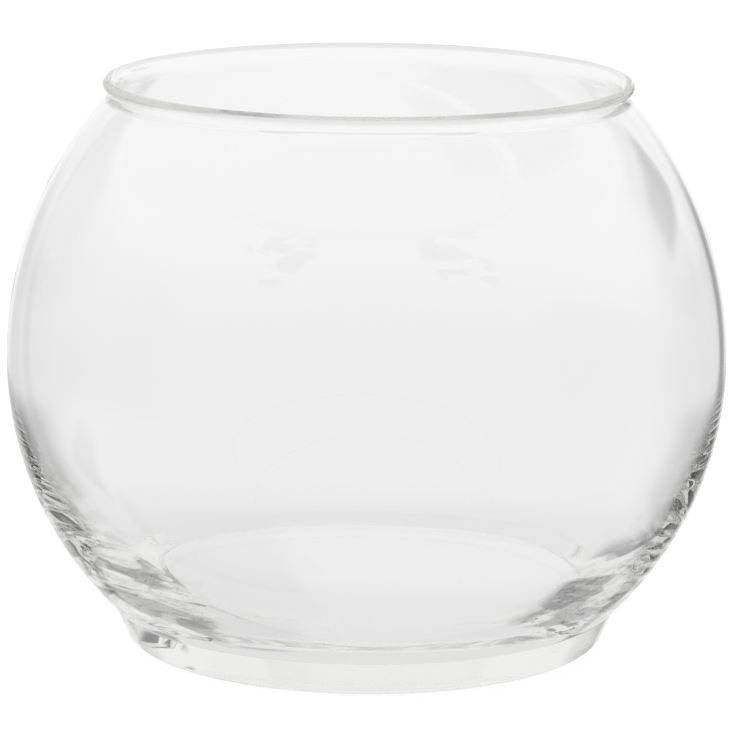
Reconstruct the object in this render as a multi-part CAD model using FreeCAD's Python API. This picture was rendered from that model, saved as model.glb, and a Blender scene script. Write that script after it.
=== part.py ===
import FreeCAD, Part
import math
import os

# Rose bowl vase of clear glass, one melt from the lip to the foot. Millimetres, +Z up.
# The origin is the centre of the plane that the vase stands on, and Z is its axis.

# Outside of the bowl
bowl_diameter = 165.0
overall_height = 129.5
equator_height = 65.3

# Foot
foot_height = 7.9
foot_bottom_diameter = 111.6
foot_flare = 2.3
foot_corner_radius = 1.6
waist_fillet_radius = 1.2
bearing_ring_width = 7.0
underside_hollow_depth = 0.4

# Lip
lip_outer_diameter = 120.6
lip_bead_thickness = 2.6
lip_height = 5.0
lip_overhang = 0.5
lip_inside_radius = 6.0

# Inside of the bowl
wall_thickness = 1.5
inside_floor_diameter = 97.4
base_thickness = 8.5
heel_fillet_radius = 3.0

axis_start = FreeCAD.Vector(0, 0, 0)
axis_direction = FreeCAD.Vector(0, 0, 1)


def point(radius, height):
    return FreeCAD.Vector(radius, 0, height)


def from_centre(centre, towards, distance):
    """The point at a distance from centre, on the way towards another point."""
    way = towards.sub(centre)
    return centre.add(way.multiply(distance / way.Length))


def past_centre(centre, away_from, distance):
    """The point at a distance from centre, on the side that faces away from another point."""
    return from_centre(centre, away_from, -distance)


def circles_meet(first, first_reach, second, second_reach):
    """Where two circles cross, to the right of the way from the first centre to the second."""
    way = second.sub(first)
    gap = way.Length
    along = (first_reach**2 - second_reach**2 + gap**2) / (2 * gap)
    across = math.sqrt(first_reach**2 - along**2)
    unit = FreeCAD.Vector(way).normalize()
    side = FreeCAD.Vector(unit.z, 0, -unit.x)
    return first.add(unit.multiply(along)).add(side.multiply(across))


def round_arc(start, centre, end):
    """The shorter arc about centre from start to end."""
    radius = start.sub(centre).Length
    middle = from_centre(centre, start.add(end).multiply(0.5), radius)
    return Part.Arc(start, middle, end).toShape()


def straight(start, end):
    return Part.LineSegment(start, end).toShape()


def upright_arc_radius(reach, rise):
    """Radius of an arc that starts upright and ends reach further in and rise further up or down."""
    return (reach**2 + rise**2) / (2 * reach)


def shoulder_top():
    """Where the shoulder ends and the hollow under the lip's bead starts."""
    return point(lip_outer_diameter / 2 - lip_overhang, overall_height - lip_height)


def shoulder_arc():
    """Centre and radius of the arc from the equator up to the lip."""
    top = shoulder_top()
    radius = upright_arc_radius(bowl_diameter / 2 - top.x, top.z - equator_height)
    return point(bowl_diameter / 2 - radius, equator_height), radius


def belly_arc():
    """Centre and radius of the arc from the equator down to the top of the foot."""
    low = foot_side()[1]
    radius = upright_arc_radius(bowl_diameter / 2 - low.x, equator_height - low.z)
    return point(bowl_diameter / 2 - radius, equator_height), radius


def bead_centre():
    bead_radius = lip_bead_thickness / 2
    return point(lip_outer_diameter / 2 - bead_radius, overall_height - bead_radius)


def neck_arc():
    """Centre and radius of the hollow between the shoulder and the bead. It leaves both of them smoothly."""
    top, bead = shoulder_top(), bead_centre()
    shoulder, shoulder_radius = shoulder_arc()
    bead_radius = lip_bead_thickness / 2
    outward = top.sub(shoulder).multiply(1 / shoulder_radius)
    back = top.sub(bead)
    radius = (back.dot(back) - bead_radius**2) / (2 * (bead_radius - back.dot(outward)))
    return top.add(outward.multiply(radius)), radius


def foot_side():
    """The foot's side as two points, from the standing plane up. It leans out on the way."""
    bottom = foot_bottom_diameter / 2
    return point(bottom, 0), point(bottom + foot_flare, foot_height)


def foot_corner():
    """Rounded lower corner of the foot: its centre, and its ends on the plane and on the side."""
    low, high = foot_side()
    rise = high.sub(low)
    lean = math.atan2(rise.x, rise.z)
    outward = FreeCAD.Vector(math.cos(lean), 0, -math.sin(lean))
    run = foot_corner_radius * (1 + math.sin(lean)) / math.cos(lean)
    centre = point(low.x - run, foot_corner_radius)
    return centre, point(centre.x, 0), centre.add(outward.multiply(foot_corner_radius))


def waist_fillet():
    """Hollow fillet between the foot and the belly: its centre, and its ends on each of them."""
    low, high = foot_side()
    unit = high.sub(low).normalize()
    outward = FreeCAD.Vector(unit.z, 0, -unit.x)
    beside = low.add(FreeCAD.Vector(outward).multiply(waist_fillet_radius))
    belly, belly_radius = belly_arc()
    reach = belly_radius + waist_fillet_radius
    back = beside.sub(belly)
    half = back.dot(unit)
    along = -half - math.sqrt(half**2 - back.dot(back) + reach**2)
    centre = beside.add(FreeCAD.Vector(unit).multiply(along))
    on_foot = centre.sub(outward.multiply(waist_fillet_radius))
    return centre, on_foot, from_centre(belly, centre, belly_radius)


def outside_edges():
    """From the edge of the underside's hollow out over foot, belly and shoulder to the lip."""
    corner_centre, on_plane, on_side = foot_corner()
    waist_centre, waist_low, waist_high = waist_fillet()
    neck_centre = neck_arc()[0]
    bead, neck_low = bead_centre(), shoulder_top()
    neck_high = from_centre(bead, neck_centre, lip_bead_thickness / 2)
    equator = point(bowl_diameter / 2, equator_height)
    lip_top = point(bead.x, overall_height)
    ring_inside = point(on_plane.x - bearing_ring_width, 0)
    return [
        straight(ring_inside, on_plane),
        round_arc(on_plane, corner_centre, on_side),
        straight(on_side, waist_low),
        round_arc(waist_low, waist_centre, waist_high),
        round_arc(waist_high, belly_arc()[0], equator),
        round_arc(equator, shoulder_arc()[0], neck_low),
        round_arc(neck_low, neck_centre, neck_high),
        round_arc(neck_high, bead, lip_top),
    ]


def inside_belly_centre(equator, heel_centre):
    """Centre of the arc from the inside of the equator down to the fillet round the floor."""
    reach = equator.x - heel_centre.x
    drop = equator.z - heel_centre.z
    radius = (reach**2 + drop**2 - heel_fillet_radius**2) / (2 * (reach - heel_fillet_radius))
    return point(equator.x - radius, equator_height)


def inside_edges():
    """From the lip's top down the inside of the bowl to the middle of its floor."""
    bead = bead_centre()
    shoulder, shoulder_radius = shoulder_arc()
    bead_radius = lip_bead_thickness / 2
    shoulder_inside = shoulder_radius - wall_thickness
    lip_reach = lip_inside_radius - bead_radius
    lip_centre = circles_meet(shoulder, shoulder_inside + lip_inside_radius, bead, lip_reach)
    lip_start = past_centre(bead, lip_centre, bead_radius)
    lip_end = from_centre(shoulder, lip_centre, shoulder_inside)
    equator = point(bowl_diameter / 2 - wall_thickness, equator_height)
    heel_centre = point(inside_floor_diameter / 2, base_thickness + heel_fillet_radius)
    belly = inside_belly_centre(equator, heel_centre)
    heel_high = past_centre(heel_centre, belly, heel_fillet_radius)
    heel_low = point(heel_centre.x, base_thickness)
    return [
        round_arc(point(bead.x, overall_height), bead, lip_start),
        round_arc(lip_start, lip_centre, lip_end),
        round_arc(lip_end, shoulder, equator),
        round_arc(equator, belly, heel_high),
        round_arc(heel_high, heel_centre, heel_low),
        straight(heel_low, point(0, base_thickness)),
    ]


def underside_edges(ring_inside):
    """The axis through the base, and the shallow hollow that leaves only a ring to stand on."""
    top = point(0, underside_hollow_depth)
    curve = (ring_inside.x**2 + underside_hollow_depth**2) / (2 * underside_hollow_depth)
    centre = point(0, underside_hollow_depth - curve)
    return [straight(point(0, base_thickness), top), round_arc(top, centre, ring_inside)]


def glass_bowl():
    outside = outside_edges()
    ring_inside = outside[0].Vertexes[0].Point
    outline = Part.Wire(outside + inside_edges() + underside_edges(ring_inside))
    return Part.Face(outline).revolve(axis_start, axis_direction, 360)


os.makedirs("parts", exist_ok=True)
glass_bowl().exportStep("parts/glass_bowl.step")
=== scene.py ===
import math

import bpy
import numpy as np
from mathutils import Matrix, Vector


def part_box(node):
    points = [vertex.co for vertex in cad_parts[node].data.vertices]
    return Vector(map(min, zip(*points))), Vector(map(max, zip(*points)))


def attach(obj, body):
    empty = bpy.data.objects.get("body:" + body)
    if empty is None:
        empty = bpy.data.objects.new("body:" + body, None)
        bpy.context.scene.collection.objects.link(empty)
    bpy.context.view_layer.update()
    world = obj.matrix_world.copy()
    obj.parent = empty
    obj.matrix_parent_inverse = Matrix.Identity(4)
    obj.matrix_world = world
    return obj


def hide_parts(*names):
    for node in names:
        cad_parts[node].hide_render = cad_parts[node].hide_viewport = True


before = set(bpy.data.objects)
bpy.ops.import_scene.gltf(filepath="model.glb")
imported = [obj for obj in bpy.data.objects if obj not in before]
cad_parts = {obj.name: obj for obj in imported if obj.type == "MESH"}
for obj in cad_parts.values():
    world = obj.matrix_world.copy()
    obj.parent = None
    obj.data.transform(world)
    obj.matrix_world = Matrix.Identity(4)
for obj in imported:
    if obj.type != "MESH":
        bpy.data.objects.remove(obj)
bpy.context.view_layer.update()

# Sizes of the vase in metres. The width and height come from the solid, and the rest is as it has them.
# Only the curve inside the lip is tighter than the solid's 6 mm, which adds up to 0.7 mm of glass under
# the bead: the photographed mouth shows a single line there.
MM = 0.001
SOLID_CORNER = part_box("glass_bowl")[1]
BOWL_RADIUS = SOLID_CORNER.x
HEIGHT = SOLID_CORNER.z
EQUATOR = 65.3 * MM
FOOT_HEIGHT = 7.9 * MM
FOOT_BOTTOM_RADIUS = 55.8 * MM
FOOT_FLARE = 2.3 * MM
FOOT_CORNER = 1.6 * MM
WAIST_FILLET = 1.2 * MM
RING_WIDTH = 7.0 * MM
UNDERSIDE_HOLLOW = 0.4 * MM
LIP_RADIUS = 60.3 * MM
BEAD_RADIUS = 1.3 * MM
LIP_HEIGHT = 5.0 * MM
LIP_OVERHANG = 0.5 * MM
LIP_INSIDE = 3.2 * MM
WALL = 1.5 * MM
FLOOR_RADIUS = 48.7 * MM
BASE = 8.5 * MM
HEEL_FILLET = 3.0 * MM

# How finely the glass is divided. Below FINE_TOP the steps are short, for the waves in the heel.
TURNS = 330
LONG_STEP = 2.4 * MM
FLAT_STEP = 3.0 * MM
FINE_STEP = 0.62 * MM
FINE_TOP = 38 * MM
ARC_STEP = math.radians(9)
LEAST_ARC_STEPS = 3

# The inside of the bowl leans and stands a little to the side: in full below the first height, and not
# at all above the second.
LEAN = math.radians(0.2)
SHIFT = 0.8 * MM
SETTLED_BELOW = 14 * MM
TRUE_ABOVE = 40 * MM

# Waves of the glass: the fewest and the most that go round the axis, the shortest and the longest along
# the section, how many are added up, and a seed
WAVES = {
    "streaks": ((4, 13), (5 * MM, 9 * MM), 14, 5),
    "fine": ((10, 36), (1.8 * MM, 4 * MM), 14, 8),
    "crumple": ((40, 85), (1.8 * MM, 4 * MM), 24, 11),
    "broad": ((2, 9), (14 * MM, 40 * MM), 10, 23),
}

# How high the waves stand: on the near heel's inside, left and right, on its outside, and all over
HEEL_LEFT = {"streaks": 0.20 * MM, "fine": 0.024 * MM}
HEEL_RIGHT = {"streaks": 0.04 * MM, "crumple": 0.030 * MM}
HEEL_OUTSIDE = {"streaks": 0.02 * MM}
ALL_OVER = {"broad": 0.002 * MM}

# Where the waves fade in, from none to full. Degrees go from the vase's side, 0, to its front, 90, and
# the third pair counts up from the waves' top, which comes down towards the front.
WAVES_FROM_SIDE = (24.0, 36.0)
WAVES_FROM_FRONT = (64.0, 48.0)
WAVES_FROM_TOP = (1 * MM, -6 * MM)
WAVES_FROM_FLOOR = (10 * MM, 13 * MM)
WAVES_TOP = 33 * MM
WAVES_TOP_DROP = 11 * MM
BROAD_FROM_FOOT = (9 * MM, 20 * MM)
TOP_DROPS = (44.0, 60.0)

# Painted shade in the heel, grey streaks for its dark refractions: how often they repeat in x, y and z, in
# 1/m, how broken and bent they are, and how dark the painted shade is
PAINTED_SHADE_REPEAT = (45.0, 45.0, 200.0)
PAINTED_SHADE_DETAIL = 1.5
PAINTED_SHADE_DISTORTION = 0.4
PAINTED_SHADE_DEPTH = 0.62

# Where the painted shade streaks start and end, in the same degrees and in height, the noise above which
# they are grey, and how much is added to it near the side and away from it
PAINTED_SHADE_STARTS = (16.0, 24.0)
PAINTED_SHADE_ENDS = (57.0, 63.0)
PAINTED_SHADE_BOTTOM = (10 * MM, 12.5 * MM)
PAINTED_SHADE_TOP = (31 * MM, 37 * MM)
PAINTED_SHADE_TOP_DROP = 14 * MM
PAINTED_SHADE_EDGE = (0.51, 0.55)
PAINTED_SHADE_GROWS = (22.0, 40.0)
PAINTED_SHADE_NEAR_SIDE = -0.05
PAINTED_SHADE_AWAY = 0.03

# Clear glass with a faint warm grey in its depth
GLASS_IOR = 1.52
GLASS_TINT = (0.66, 0.655, 0.625, 1)
GLASS_DENSITY = 3

# Light from all round, and the areas of the studio that differ from it. Degrees to the right of straight
# ahead, where each area fades in and out, then the same for degrees up, and its level.
SKY = 0.97
STUDIO = {
    "grey wall on the left": ((-125.0, -105.0), (-75.0, -60.0), (-16.0, -10.0), (15.0, 30.0), 0.75),
    "dim room in front": ((-85.0, -55.0), (55.0, 85.0), (-38.0, -33.0), (-3.0, 6.0), 0.72),
    "dark low in front, left": ((-66.0, -50.0), (-28.0, -22.0), (-36.0, -32.0), (-18.0, -13.0), 0.25),
    "dark low in front, right": ((16.0, 20.0), (50.0, 66.0), (-36.0, -32.0), (-18.0, -13.0), 0.25),
    "dark past the backdrop": ((16.0, 20.0), (24.0, 30.0), (-26.0, -20.0), (-4.0, 2.0), 0.35),
    "dark panel on the right": ((34.0, 37.0), (52.0, 60.0), (6.0, 9.0), (15.0, 19.0), 0.20),
    "table": ((-200.0, -190.0), (190.0, 200.0), (-100.0, -91.0), (-38.0, -34.0), 0.76),
    "dark below on the left": ((-146.0, -136.0), (-50.0, -44.0), (-80.0, -75.0), (-49.0, -44.0), 0.38),
    "backdrop's foot": ((-22.0, -17.0), (13.0, 17.0), (-30.0, -24.0), (18.0, 30.0), 0.835),
    "white backdrop": ((-22.0, -17.0), (13.0, 17.0), (-13.0, -7.5), (18.0, 30.0), 0.935),
    "sweep under the backdrop": ((-20.0, -16.0), (13.0, 17.0), (-85.0, -70.0), (-24.0, -18.0), 0.78),
}

# The white floor in metres, just under the vase, and the light that it scatters and gives
STAGE_HALF_SIDE = 6.0
STAGE_DROP = 0.05 * MM
STAGE_SCATTER = 0.25
STAGE_GLOW = 0.86

# The camera, its lens and sensor in millimetres, and its dip and roll in degrees
LENS = 206.5
SENSOR = 36
CAMERA_PLACE = (0.35 * MM, -950 * MM, 266.1 * MM)
CAMERA_DIP = 12.12
CAMERA_ROLL = 0.48
CAMERA_REACH = 50

# Light crosses many walls of glass before it leaves the vase
BOUNCES = 128


def point(radius, height):
    return np.array((radius, height), float)


def towards(start, end, distance):
    way = end - start
    return start + way * (distance / np.linalg.norm(way))


def circles_meet(first, first_reach, second, second_reach):
    """Where two circles cross, on the right of the way from the first centre to the second."""
    way = second - first
    gap = np.linalg.norm(way)
    along = (first_reach**2 - second_reach**2 + gap**2) / (2 * gap)
    across = math.sqrt(first_reach**2 - along**2)
    unit = way / gap
    return first + unit * along + point(unit[1], -unit[0]) * across


def straight(start, end, step=LONG_STEP):
    """Points from start to just before end."""
    count = max(1, math.ceil(np.linalg.norm(end - start) / step))
    return [start + (end - start) * i / count for i in range(count)]


def arc(start, centre, end, step=LONG_STEP):
    """Points on the shorter arc about centre, from start to just before end."""
    first, last = start - centre, end - centre
    radius = np.linalg.norm(first)
    begin = math.atan2(first[1], first[0])
    turn = (math.atan2(last[1], last[0]) - begin + math.pi) % (2 * math.pi) - math.pi
    count = max(LEAST_ARC_STEPS, math.ceil(abs(turn) / min(ARC_STEP, step / radius)))
    angles = [begin + turn * i / count for i in range(count)]
    return [centre + radius * point(math.cos(a), math.sin(a)) for a in angles]


def at_height(centre, radius, height):
    """The outer point of a circle at a height."""
    return point(centre[0] + math.sqrt(radius**2 - (height - centre[1]) ** 2), height)


def upright_arc_radius(reach, rise):
    """The radius of an arc that starts upright and then goes reach sideways over its rise."""
    return (reach**2 + rise**2) / (2 * reach)


def soft_hollow(reach):
    """Points of the hollow under the foot, from its middle to just before its edge. It ends level."""
    count = math.ceil(reach / FLAT_STEP)
    turns = [math.pi * i / count for i in range(count)]
    return [point(reach * t / math.pi, UNDERSIDE_HOLLOW * (0.5 + 0.5 * math.cos(t))) for t in turns]


def shoulder_arc():
    """The outside above the equator: the arc's centre, its radius and its top end."""
    top = point(LIP_RADIUS - LIP_OVERHANG, HEIGHT - LIP_HEIGHT)
    radius = upright_arc_radius(BOWL_RADIUS - top[0], top[1] - EQUATOR)
    return point(BOWL_RADIUS - radius, EQUATOR), radius, top


def bead_centre():
    return point(LIP_RADIUS - BEAD_RADIUS, HEIGHT - BEAD_RADIUS)


def outside_half():
    """Points from the middle of the underside out and up to just before the top of the lip."""
    ring_low = point(FOOT_BOTTOM_RADIUS, 0)
    foot_top = point(FOOT_BOTTOM_RADIUS + FOOT_FLARE, FOOT_HEIGHT)
    rise = (foot_top - ring_low) / np.linalg.norm(foot_top - ring_low)
    outward = point(rise[1], -rise[0])
    lean = math.atan2(rise[0], rise[1])
    corner_x = FOOT_BOTTOM_RADIUS - FOOT_CORNER * (1 + math.sin(lean)) / math.cos(lean)
    corner = point(corner_x, FOOT_CORNER)
    on_plane, on_side = point(corner_x, 0), corner + outward * FOOT_CORNER
    ring_inside = point(corner_x - RING_WIDTH, 0)

    belly_radius = upright_arc_radius(BOWL_RADIUS - foot_top[0], EQUATOR - foot_top[1])
    belly = point(BOWL_RADIUS - belly_radius, EQUATOR)
    beside = ring_low + outward * WAIST_FILLET
    back = beside - belly
    half = back @ rise
    along = -half - math.sqrt(half**2 - back @ back + (belly_radius + WAIST_FILLET) ** 2)
    waist = beside + rise * along
    waist_low, waist_high = waist - outward * WAIST_FILLET, towards(belly, waist, belly_radius)
    fine_end = at_height(belly, belly_radius, FINE_TOP)
    equator = point(BOWL_RADIUS, EQUATOR)

    shoulder, shoulder_radius, shoulder_top = shoulder_arc()
    bead = bead_centre()
    away = (shoulder_top - shoulder) / shoulder_radius
    gap = shoulder_top - bead
    neck_radius = (gap @ gap - BEAD_RADIUS**2) / (2 * (BEAD_RADIUS - gap @ away))
    neck = shoulder_top + away * neck_radius
    neck_high = towards(bead, neck, BEAD_RADIUS)
    return (
        soft_hollow(ring_inside[0])
        + straight(ring_inside, on_plane)
        + arc(on_plane, corner, on_side)
        + straight(on_side, waist_low)
        + arc(waist_low, waist, waist_high)
        + arc(waist_high, belly, fine_end, FINE_STEP)
        + arc(fine_end, belly, equator)
        + arc(equator, shoulder, shoulder_top)
        + arc(shoulder_top, neck, neck_high)
        + arc(neck_high, bead, point(bead[0], HEIGHT))
    )


def inside_half():
    """Points from the top of the lip down and in to the middle of the bowl's floor."""
    shoulder, shoulder_radius, _ = shoulder_arc()
    bead = bead_centre()
    inside_radius = shoulder_radius - WALL
    lip = circles_meet(shoulder, inside_radius + LIP_INSIDE, bead, LIP_INSIDE - BEAD_RADIUS)
    lip_start, lip_end = towards(bead, lip, -BEAD_RADIUS), towards(shoulder, lip, inside_radius)

    equator = point(BOWL_RADIUS - WALL, EQUATOR)
    heel = point(FLOOR_RADIUS, BASE + HEEL_FILLET)
    reach, drop = equator - heel
    belly_radius = (reach**2 + drop**2 - HEEL_FILLET**2) / (2 * (reach - HEEL_FILLET))
    belly = point(equator[0] - belly_radius, EQUATOR)
    heel_high, heel_low = towards(heel, belly, -HEEL_FILLET), point(FLOOR_RADIUS, BASE)
    fine_start = at_height(belly, belly_radius, FINE_TOP)
    return (
        arc(point(bead[0], HEIGHT), bead, lip_start)
        + arc(lip_start, lip, lip_end)
        + arc(lip_end, shoulder, equator)
        + arc(equator, belly, fine_start)
        + arc(fine_start, belly, heel_high, FINE_STEP)
        + arc(heel_high, heel, heel_low, FINE_STEP)
        + straight(heel_low, point(0, BASE), FLAT_STEP)
        + [point(0, BASE)]
    )


def smooth(value, none, full):
    """0 at none, 1 at full, and a soft step between."""
    share = np.clip((value - none) / (full - none), 0, 1)
    return share * share * (3 - 2 * share)


def waves(angle, along, turns, lengths, count, seed):
    """A sum of waves round the axis and along the section, of about unit size."""
    rng = np.random.default_rng(seed)
    total = np.zeros(np.broadcast(angle, along).shape)
    for _ in range(count):
        round_count = int(rng.integers(turns[0], turns[1] + 1))
        length = math.exp(rng.uniform(math.log(lengths[0]), math.log(lengths[1])))
        tilt = rng.choice((-1, 1))
        phase = rng.uniform(0, 2 * math.pi)
        total += np.sin(round_count * angle * tilt + 2 * math.pi * along / length + phase)
    return total * math.sqrt(2 / count)


def stand_off(points, first_inside, angles):
    """How far each point of the surface stands off the turned shape, along its normal."""
    steps = np.linalg.norm(np.diff(points, axis=0), axis=1)
    along = np.concatenate(([0], np.cumsum(steps)))[:, None]
    height = points[:, 1:2]
    inside = (np.arange(len(points)) >= first_inside)[:, None]
    kinds = {name: waves(angles, along, *kind) for name, kind in WAVES.items()}

    def mix(sizes):
        return sum(size * kinds[name] for name, size in sizes.items())

    front = np.degrees(np.arctan2(-np.sin(angles), np.abs(np.cos(angles))))
    near = smooth(front, *WAVES_FROM_SIDE) * smooth(front, *WAVES_FROM_FRONT)
    left, right = near * (np.cos(angles) < 0), near * (np.cos(angles) > 0)
    top = WAVES_TOP - WAVES_TOP_DROP * smooth(front, *TOP_DROPS)
    heel = smooth(height, *WAVES_FROM_FLOOR) * smooth(height - top, *WAVES_FROM_TOP)
    heel_inside = left * mix(HEEL_LEFT) + right * mix(HEEL_RIGHT)
    heel_outside = (left + right) * mix(HEEL_OUTSIDE)
    all_over = mix(ALL_OVER) * smooth(height, *BROAD_FROM_FOOT)
    return heel * np.where(inside, heel_inside, heel_outside) + all_over


def revolve(points, first_inside):
    """A closed mesh from a half section whose first and last points lie on the axis."""
    angles = np.arange(TURNS) * 2 * math.pi / TURNS
    tangent = np.gradient(points, axis=0)
    tangent /= np.linalg.norm(tangent, axis=1)[:, None]
    off = stand_off(points, first_inside, angles)[1:-1]
    rings = points[1:-1]
    radius = rings[:, 0:1] + off * tangent[1:-1, 1:2]
    z = rings[:, 1:2] - off * tangent[1:-1, 0:1]
    x = radius * np.cos(angles)
    y = radius * np.sin(angles)
    inside = (np.arange(len(rings)) >= first_inside - 1)[:, None]
    settled = smooth(z, TRUE_ABOVE, SETTLED_BELOW) * inside
    z = z - math.tan(LEAN) * x * settled
    x = x + SHIFT * settled
    corners = np.stack((x, y, z), 2).reshape(-1, 3)
    underside = len(corners)
    bowl_floor = underside + 1
    corners = np.vstack((corners, (0, 0, points[0, 1]), (SHIFT, 0, points[-1, 1])))

    faces = []
    sides = [(turn, (turn + 1) % TURNS) for turn in range(TURNS)]
    last_ring = (len(rings) - 1) * TURNS
    for ring in range(0, last_ring, TURNS):
        for here, after in sides:
            faces.append((ring + here, ring + after, ring + TURNS + after, ring + TURNS + here))
    for here, after in sides:
        faces.append((underside, after, here))
        faces.append((bowl_floor, last_ring + here, last_ring + after))
    return corners, faces


def add_object(name, data):
    thing = bpy.data.objects.new(name, data)
    bpy.context.scene.collection.objects.link(thing)
    return thing


def calc(tree, operation, *values):
    """The output of a new maths node. Each value is a number or the output of another node."""
    node = tree.nodes.new("ShaderNodeMath")
    node.operation = operation
    for socket, value in zip(node.inputs, values):
        if isinstance(value, (int, float)):
            socket.default_value = value
        else:
            tree.links.new(value, socket)
    return node.outputs[0]


def fade(tree, value, span, before=0.0, after=1.0):
    """One number before the span and another after it, with a soft step between."""
    node = tree.nodes.new("ShaderNodeMapRange")
    node.interpolation_type = "SMOOTHSTEP"
    tree.links.new(value, node.inputs["Value"])
    node.inputs["From Min"].default_value = span[0]
    node.inputs["From Max"].default_value = span[1]
    node.inputs["To Min"].default_value = before
    node.inputs["To Max"].default_value = after
    return node.outputs["Result"]


def between(tree, value, start, end):
    """1 between two spans and 0 outside them, with a soft step over each."""
    return calc(tree, "MULTIPLY", fade(tree, value, start), fade(tree, value, end, 1.0, 0.0))


def degrees(tree, angle):
    return calc(tree, "MULTIPLY", angle, 180 / math.pi)


def axes(tree, place):
    """The x, y and z of a place, each as an output."""
    split = tree.nodes.new("ShaderNodeSeparateXYZ")
    tree.links.new(place, split.inputs[0])
    return split.outputs["X"], split.outputs["Y"], split.outputs["Z"]


def painted_shade_streaks(tree):
    """Painted shade: grey streaks in the heel's base colour on the left and right of its near side, for the
    dark refractions of the thick wavy heel.
    """
    place = tree.nodes.new("ShaderNodeTexCoord").outputs["Object"]
    x, y, z = axes(tree, place)
    stretch = tree.nodes.new("ShaderNodeMapping")
    stretch.inputs["Scale"].default_value = PAINTED_SHADE_REPEAT
    tree.links.new(place, stretch.inputs["Vector"])
    noise = tree.nodes.new("ShaderNodeTexNoise")
    noise.inputs["Scale"].default_value = 1.0
    noise.inputs["Detail"].default_value = PAINTED_SHADE_DETAIL
    noise.inputs["Distortion"].default_value = PAINTED_SHADE_DISTORTION
    tree.links.new(stretch.outputs[0], noise.inputs["Vector"])

    nearness = calc(tree, "MULTIPLY", y, -1.0)
    front = degrees(tree, calc(tree, "ARCTAN2", nearness, calc(tree, "ABSOLUTE", x)))
    sides = between(tree, front, PAINTED_SHADE_STARTS, PAINTED_SHADE_ENDS)
    raised = calc(tree, "ADD", z, fade(tree, front, TOP_DROPS, 0.0, PAINTED_SHADE_TOP_DROP))
    under_top = fade(tree, raised, PAINTED_SHADE_TOP, 1.0, 0.0)
    heel = calc(tree, "MULTIPLY", fade(tree, z, PAINTED_SHADE_BOTTOM), under_top)
    growth = fade(tree, front, PAINTED_SHADE_GROWS, PAINTED_SHADE_NEAR_SIDE, PAINTED_SHADE_AWAY)
    grey = fade(tree, calc(tree, "ADD", noise.outputs[0], growth), PAINTED_SHADE_EDGE)
    streaks = calc(tree, "MULTIPLY", calc(tree, "MULTIPLY", sides, heel), grey)
    return calc(tree, "SUBTRACT", 1.0, calc(tree, "MULTIPLY", streaks, PAINTED_SHADE_DEPTH))


def glass_material():
    material = bpy.data.materials.new("clear_glass")
    material.use_nodes = True
    tree = material.node_tree
    shader = tree.nodes["Principled BSDF"]
    shader.inputs["Roughness"].default_value = 0.0
    shader.inputs["IOR"].default_value = GLASS_IOR
    shader.inputs["Transmission Weight"].default_value = 1
    # The base colour carries painted shade: the grey streaks of the heel
    tree.links.new(painted_shade_streaks(tree), shader.inputs["Base Color"])
    absorb = tree.nodes.new("ShaderNodeVolumeAbsorption")
    absorb.inputs["Color"].default_value = GLASS_TINT
    absorb.inputs["Density"].default_value = GLASS_DENSITY
    tree.links.new(absorb.outputs["Volume"], tree.nodes["Material Output"].inputs["Volume"])
    return material


def make_bowl():
    outside = outside_half()
    corners, faces = revolve(np.array(outside + inside_half()), len(outside))
    mesh = bpy.data.meshes.new("glass_bowl_clear")
    mesh.from_pydata(corners.tolist(), [], faces)
    mesh.validate()
    mesh.shade_smooth()
    mesh.materials.append(glass_material())
    bowl = add_object("glass_bowl_clear", mesh)
    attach(bowl, "root")
    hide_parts("glass_bowl")


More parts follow.
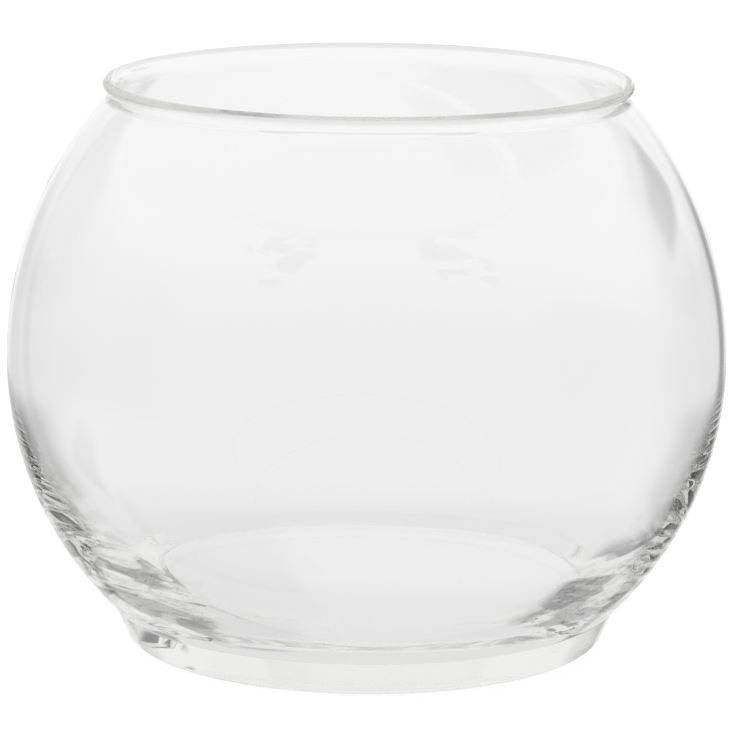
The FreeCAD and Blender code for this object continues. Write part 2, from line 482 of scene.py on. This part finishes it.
def make_world():
    """The studio round the vase: plain white to the camera and the floor, and grey in parts to the glass."""
    world = bpy.data.worlds.new("studio")
    bpy.context.scene.world = world
    world.use_nodes = True
    tree = world.node_tree
    x, y, z = axes(tree, tree.nodes.new("ShaderNodeTexCoord").outputs["Generated"])
    ahead = degrees(tree, calc(tree, "ARCTAN2", x, y))
    slope = degrees(tree, calc(tree, "ARCSINE", z))

    strength = SKY
    for left, right, low, high, level in STUDIO.values():
        across = between(tree, ahead, left, right)
        area = calc(tree, "MULTIPLY", across, between(tree, slope, low, high))
        rest = calc(tree, "MULTIPLY", calc(tree, "SUBTRACT", 1.0, area), strength)
        strength = calc(tree, "ADD", rest, calc(tree, "MULTIPLY", area, level))
    path = tree.nodes.new("ShaderNodeLightPath")
    for plain_white in ("Is Camera Ray", "Is Diffuse Ray"):
        strength = calc(tree, "MAXIMUM", strength, path.outputs[plain_white])
    background = tree.nodes["Background"]
    background.inputs["Color"].default_value = (1, 1, 1, 1)
    tree.links.new(strength, background.inputs["Strength"])


def floor_material():
    material = bpy.data.materials.new("white_floor")
    material.use_nodes = True
    nodes, links = material.node_tree.nodes, material.node_tree.links
    nodes.clear()
    diffuse = nodes.new("ShaderNodeBsdfDiffuse")
    diffuse.inputs["Color"].default_value = (STAGE_SCATTER, STAGE_SCATTER, STAGE_SCATTER, 1)
    glow = nodes.new("ShaderNodeEmission")
    glow.inputs["Strength"].default_value = STAGE_GLOW
    add = nodes.new("ShaderNodeAddShader")
    links.new(diffuse.outputs[0], add.inputs[0])
    links.new(glow.outputs[0], add.inputs[1])
    links.new(add.outputs[0], nodes.new("ShaderNodeOutputMaterial").inputs[0])
    return material


def make_floor():
    """The floor is seen as itself, and the glass shows the studio's table in its place."""
    low, high = -STAGE_HALF_SIDE, STAGE_HALF_SIDE
    square = ((low, low), (high, low), (high, high), (low, high))
    mesh = bpy.data.meshes.new("floor")
    mesh.from_pydata([(x, y, -STAGE_DROP) for x, y in square], [], [(0, 1, 2, 3)])
    mesh.materials.append(floor_material())
    floor = add_object("floor", mesh)
    floor.visible_transmission = False
    floor.visible_glossy = False


def make_camera():
    data = bpy.data.cameras.new("camera")
    data.lens = LENS
    data.sensor_width = SENSOR
    data.clip_end = CAMERA_REACH
    camera = add_object("camera", data)
    camera.matrix_world = (
        Matrix.Translation(CAMERA_PLACE)
        @ Matrix.Rotation(math.radians(90 - CAMERA_DIP), 4, "X")
        @ Matrix.Rotation(math.radians(CAMERA_ROLL), 4, "Z")
    )
    bpy.context.scene.camera = camera


scene = bpy.context.scene
scene.view_settings.view_transform = "Standard"
scene.cycles.max_bounces = BOUNCES
scene.cycles.transmission_bounces = BOUNCES
scene.cycles.glossy_bounces = BOUNCES
make_bowl()
make_world()
make_floor()
make_camera()
